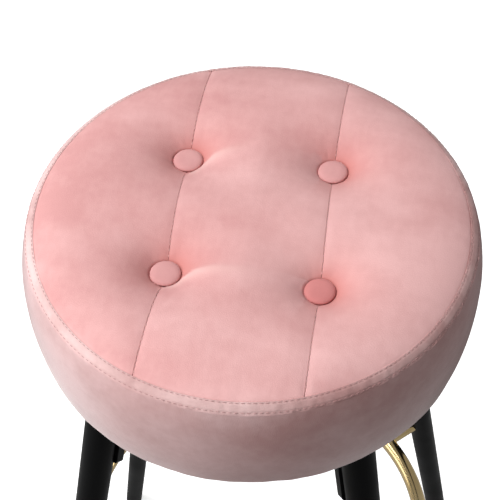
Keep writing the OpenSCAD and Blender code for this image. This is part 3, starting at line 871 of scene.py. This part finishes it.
# Painted light on the welt: a paler, greyer copy of the top's velvet as painted sheen, paler on the left as
# painted light and deeper on the right as painted shade.
welt_velvet = velvet("Welt velvet", (0.50, 0.275, 0.265), (0.80, 0.56, 0.545), 0.45, painted_light_slope=(-2.6, 0, 0),
                     tint=(1.0, 1.0, 1.0))
edge_welt = piece(welt, "velvet_welt", welt_velvet)
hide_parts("edge_welt")

dark_thread = hard_finish("Dark pink thread", (0.45, 0.24, 0.235), (0.55, 0.31, 0.305), 0.5, 0.65,
                          specular=0.2, patch=900.0, grain=3000.0, depth=0.3)
welt_stitch_l = 2.5 * mm
stitch_lift = 0.44 * welt_t / 2
welt_thread = bmesh.new()
for k in range(welt_stitches):
    turn = math.tau * (k + 0.5) / welt_stitches
    forward = Vector((-math.sin(turn), math.cos(turn), 0))
    for across in (-welt_row, welt_row):
        place = welt_point(turn, across, stitch_lift)
        up = (welt_point(turn, across, mm) - welt_point(turn, across, 0)).normalized()
        stitch(welt_thread, place, forward, up, welt_stitch_l)
piece(welt_thread, "welt_stitches", dark_thread)

# Side band: one strip of velvet round the pad, joined at the back. It swells between its edges, and its
# lower edge is drawn under the board in small pleats.
hem_in_r = base_r - 20 * mm
join_turn = math.radians(90)
band_rows = 26
band_steps = 300
under_welt = 0.1 * mm
gathered_h = 0.55 * mm
gathered_reach = 8 * mm
waves_h = 0.5 * mm
pleats_h = 0.4 * mm
pleats_reach = 9 * mm
join_depth = 0.9 * mm
join_w = 1.1 * mm
hem_waves = 74
hem_wave_h = 0.35 * mm


def band_profile():
    """Points of the band's outer face from under the welt down to the edge of the hem."""
    points = [Vector((band_top_r - 1.8 * mm, band_top_z + under_welt)),
              Vector((band_top_r - 0.4 * mm, band_top_z + under_welt)), Vector((band_top_r, band_top_z))]
    low = seat_z + hem_round
    for k in range(1, band_rows + 1):
        z = band_top_z + (low - band_top_z) * (k / band_rows) ** 1.3
        points.append(Vector((band_radius(z), z)))
    centre = Vector((band_radius(low) - hem_round, low))
    for k in range(1, 7):
        turn = -math.pi / 2 * k / 6
        points.append(centre + hem_round * Vector((math.cos(turn), math.sin(turn))))
    for k in range(1, 6):
        points.append(Vector((centre.x + (hem_in_r - centre.x) * k / 5, seat_z)))
    return points


band = bmesh.new()
corners = [band.verts.new((p.x, 0, p.y)) for p in band_profile()]
for a, b in zip(corners, corners[1:]):
    band.edges.new((a, b))
turn_round(band, band_steps)
if sum(f.normal.xy.dot(f.calc_center_median().xy) for f in band.faces) < 0:
    bmesh.ops.reverse_faces(band, faces=band.faces[:])
for v in band.verts:
    turn = math.atan2(v.co.y, v.co.x)
    out = Vector((math.cos(turn), math.sin(turn), 0))
    below_welt = band_top_z - v.co.z
    gathers = noise.noise(Vector((math.cos(turn) * 26, math.sin(turn) * 26, v.co.z * 20)))
    waves = noise.noise(Vector((math.cos(turn) * 4, math.sin(turn) * 4, v.co.z * 14)))
    pleats = noise.noise(Vector((math.cos(turn) * 16, math.sin(turn) * 16, 40.0)))
    away = v.co.xy.length * abs(math.remainder(turn - join_turn, math.tau))
    shift = gathered_h * gathers * math.exp(-below_welt / gathered_reach) + waves_h * waves
    shift += pleats_h * pleats * math.exp(-(v.co.z - seat_z) / pleats_reach)
    shift -= join_depth * math.exp(-((away / join_w) ** 2))
    hem = smooth_step((base_r - 3 * mm - v.co.xy.length) / (8 * mm)) if v.co.z < seat_z + 1 * mm else 0.0
    v.co += out * shift * (1 - hem)
    v.co.z += hem * hem_wave_h * math.sin(turn * hem_waves + 3 * pleats)
# Painted light on the band: a greyer copy of the top's velvet as painted sheen, paler on the left as painted
# light and deeper on the right as painted shade.
band_velvet = velvet("Band velvet", (0.53, 0.285, 0.275), (0.74, 0.50, 0.495), 0.8, painted_light_slope=(-2.8, 0, 0),
                     tint=(1.0, 1.0, 1.0))
side_band = piece(band, "velvet_side", band_velvet)
band_cloth = side_band.modifiers.new("Cloth thickness", "SOLIDIFY")
band_cloth.thickness = cover_t
band_cloth.offset = -1
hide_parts("velvet_side_band")

# Dust cover: a round of black non-woven cloth under the board. It steps down over the edge of the turned
# velvet, and a ring of staples holds both.
dust_low, dust_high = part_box("dust_cover")
dust_r = dust_high.x
dust_t = 0.6 * mm
dust_squares = 90
step_r = hem_in_r - 1 * mm
lap_lift = 0.75 * mm
slack_h = 0.2 * mm
staples = 40
staple_r = dust_r - 4 * mm
dust = round_sheet(dust_r, dust_squares)
for v in dust.verts:
    r = v.co.xy.length
    slack = noise.noise(Vector((v.co.x * 30, v.co.y * 30, 2.0)))
    lap = smooth_step((r - step_r + 2 * mm) / (3 * mm))
    held = 1 - smooth_step((r - 100 * mm) / (15 * mm))
    v.co.z = dust_high.z + (dust_low.z + lap_lift - dust_high.z) * lap
    v.co.z += slack_h * slack * (1 - held) * (1 - lap)
bmesh.ops.reverse_faces(dust, faces=dust.faces[:])
dust_cloth = hard_finish("Black non-woven", (0.014, 0.014, 0.015), (0.030, 0.030, 0.032), 0.85, 0.95,
                         specular=0.2, patch=260.0, grain=1800.0, depth=0.6)
dust_cover = piece(dust, "dust_sheet", dust_cloth)
dust_body = dust_cover.modifiers.new("Cloth thickness", "SOLIDIFY")
dust_body.thickness = dust_t
dust_body.offset = 1
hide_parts("dust_cover")

staple_w = 11 * mm
staple_wire = 0.7 * mm
staple_flat = 1.3 * mm
staple_skew = math.radians(14)
staple_ring = bmesh.new()
for k in range(staples):
    turn = math.tau * (k + 0.5) / staples
    skew = staple_skew * noise.noise(Vector((k * 0.7, 5.0, 1.0)))
    place = (Matrix.Rotation(turn, 4, "Z") @ Matrix.Translation((staple_r, 0, dust_low.z))
             @ Matrix.Rotation(skew, 4, "Z"))
    size = Matrix.Diagonal((staple_flat, staple_w, staple_wire, 1))
    wire = bmesh.ops.create_cube(staple_ring, size=1, matrix=place @ size)["verts"]
    rounded = {e for v in wire for e in v.link_edges}
    bmesh.ops.bevel(staple_ring, geom=list(rounded), offset=0.25 * mm, segments=2, affect="EDGES",
                    profile=0.5, material=-1)
piece(staple_ring, "staples", zinc)

# Buttons: a tin shell covered in the same velvet, domed and gathered under its rim. The twine draws each
# one down into the pad.
button_h = button_boxes["front_left"][1].z - button_z
button_sides = 72
button_gathers = 24
gathers_h = 0.12 * mm
under_rim = -1.2 * mm
button_velvet = velvet("Button velvet", (0.68, 0.33, 0.325), (0.80, 0.43, 0.42), 0.5)
deep_velvet = velvet("Deep button velvet", (0.62, 0.22, 0.215), (0.70, 0.27, 0.26), 0.35)
for name, spot in button_places.items():
    button = bmesh.new()
    dome = [Vector((button_r * math.cos(t) ** 0.55, button_h * math.sin(t)))
            for t in [math.radians(90 - 7.5 * k) for k in range(13)] if math.cos(t) > 1e-6]
    under = [Vector((button_r * 0.93, -0.9 * mm)), Vector((button_r * 0.8, under_rim)),
             Vector((0, under_rim))]
    rim = [button.verts.new((p.x, 0, p.y)) for p in [Vector((0, button_h))] + dome + under]
    for a, b in zip(rim, rim[1:]):
        button.edges.new((a, b))
    turn_round(button, button_sides)
    for v in button.verts:
        turn = math.atan2(v.co.y, v.co.x)
        edge = smooth_step((v.co.xy.length / button_r - 0.8) / 0.2)
        waver = noise.noise(Vector((math.cos(turn), math.sin(turn), spot.x * 40)))
        gather = gathers_h * math.cos(turn * button_gathers + 2 * waver)
        if v.co.xy.length > mm:
            v.co.xy += v.co.xy.normalized() * gather * edge
    button.transform(from_cover @ Matrix.Translation((spot.x, spot.y, button_z)))
    cover = deep_velvet if name == "front_right" else button_velvet
    covered = piece(button, f"covered_button_{name}", cover)
    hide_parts(f"button_{name}")

# Floor: a plain matt studio floor under the stool. The camera sees it white and with the stool's soft
# shadow on it, and it fades to the white of the backdrop a few metres away.
floor_half = 12
gloss_share = 0.35
floor_shape = bmesh.new()
bmesh.ops.create_grid(floor_shape, x_segments=2, y_segments=2, size=floor_half)
floor_mesh = bpy.data.meshes.new("floor")
floor_shape.to_mesh(floor_mesh)
floor_shape.free()
floor = bpy.data.objects.new("floor", floor_mesh)
bpy.context.scene.collection.objects.link(floor)


def seen_white(tree):
    """1 for rays from the camera, the gloss share for rays off a gloss or through glass, else 0."""
    path = tree.nodes.new("ShaderNodeLightPath").outputs
    either = worked_out(tree, "MAXIMUM", path["Is Glossy Ray"], path["Is Transmission Ray"])
    dimmed = worked_out(tree, "MULTIPLY", either, gloss_share)
    return worked_out(tree, "MAXIMUM", path["Is Camera Ray"], dimmed)


floor_paint = bpy.data.materials.new("White floor")
floor_paint.use_nodes = True
floor_tree = floor_paint.node_tree
floor_tree.nodes.remove(floor_tree.nodes["Principled BSDF"])
grey = floor_tree.nodes.new("ShaderNodeBsdfDiffuse")
grey.inputs["Color"].default_value = (0.2, 0.2, 0.2, 1)
white = floor_tree.nodes.new("ShaderNodeBsdfDiffuse")
white.inputs["Color"].default_value = (0.8, 0.8, 0.8, 1)
glow = floor_tree.nodes.new("ShaderNodeEmission")
floor_place = floor_tree.nodes.new("ShaderNodeTexCoord").outputs["Object"]
away = floor_tree.nodes.new("ShaderNodeVectorMath")
away.operation = "LENGTH"
floor_tree.links.new(floor_place, away.inputs[0])
fade = spread_out(floor_tree, away.outputs["Value"], 0.5, 3.0, 0.7, 1.0)
floor_tree.links.new(fade.outputs["Result"], glow.inputs["Strength"])
lit = floor_tree.nodes.new("ShaderNodeAddShader")
floor_tree.links.new(white.outputs["BSDF"], lit.inputs[0])
floor_tree.links.new(glow.outputs["Emission"], lit.inputs[1])
chosen = floor_tree.nodes.new("ShaderNodeMixShader")
floor_tree.links.new(seen_white(floor_tree), chosen.inputs["Fac"])
floor_tree.links.new(grey.outputs["BSDF"], chosen.inputs[1])
floor_tree.links.new(lit.outputs["Shader"], chosen.inputs[2])
floor_tree.links.new(chosen.outputs["Shader"], floor_tree.nodes["Material Output"].inputs["Surface"])
floor_mesh.materials.append(floor_paint)

# Light: a large soft lamp high on the left gives the seat its shape. A weaker one in front, one low on the
# left and one at the right edge fill the shade, under an even and weak white sky.
scene = bpy.context.scene
scene.view_settings.view_transform = "Standard"
world = bpy.data.worlds.new("Studio")
scene.world = world
world.use_nodes = True
sky = world.node_tree.nodes["Background"]
sky.inputs["Color"].default_value = (1, 1, 1, 1)
sky_light = 0.15
strength = spread_out(world.node_tree, seen_white(world.node_tree), 0.0, 1.0, sky_light, 1.0)
world.node_tree.links.new(strength.outputs["Result"], sky.inputs["Strength"])
seat_centre = Vector((0, 0, (seat_z + top_high) / 2))


def lamp(name, place, size, power):
    """A square soft lamp that faces the seat."""
    light = bpy.data.lights.new(name, "AREA")
    light.size = size
    light.energy = power
    made = bpy.data.objects.new(name, light)
    made.location = place
    made.rotation_euler = (seat_centre - Vector(place)).to_track_quat("-Z", "Y").to_euler()
    scene.collection.objects.link(made)


lamp("window_left", (-1.33, -0.3, 2.7), 1.3, 58)
lamp("front_fill", (-1.3, -2.1, 1.4), 1.6, 22)
lamp("low_left", (-2.2, -0.5, 0.9), 1.2, 13)
lamp("rim_right", (2.1, 0.9, 0.75), 1.0, 11)

# Camera: a long lens above the front edge and a little to the right of the middle. It looks down on the
# seat at the photograph's angle, and rolls with it by less than a degree.
eye = Vector((0.1133, -0.5658, 1.4231))
aim = Vector((-0.0015, 0.0001, 0.7186))
roll = math.radians(-0.88)
camera = bpy.data.cameras.new("camera")
camera.lens = 98.32
camera.sensor_width = 36
camera.clip_start = 0.01
camera_object = bpy.data.objects.new("camera", camera)
scene.collection.objects.link(camera_object)
ahead = (aim - eye).normalized()
right = ahead.cross(Vector((0, 0, 1))).normalized()
up = right.cross(ahead)
right, up = right * math.cos(roll) + up * math.sin(roll), up * math.cos(roll) - right * math.sin(roll)
camera_object.matrix_world = Matrix.Translation(eye) @ Matrix((right, up, -ahead)).transposed().to_4x4()
scene.camera = camera_object
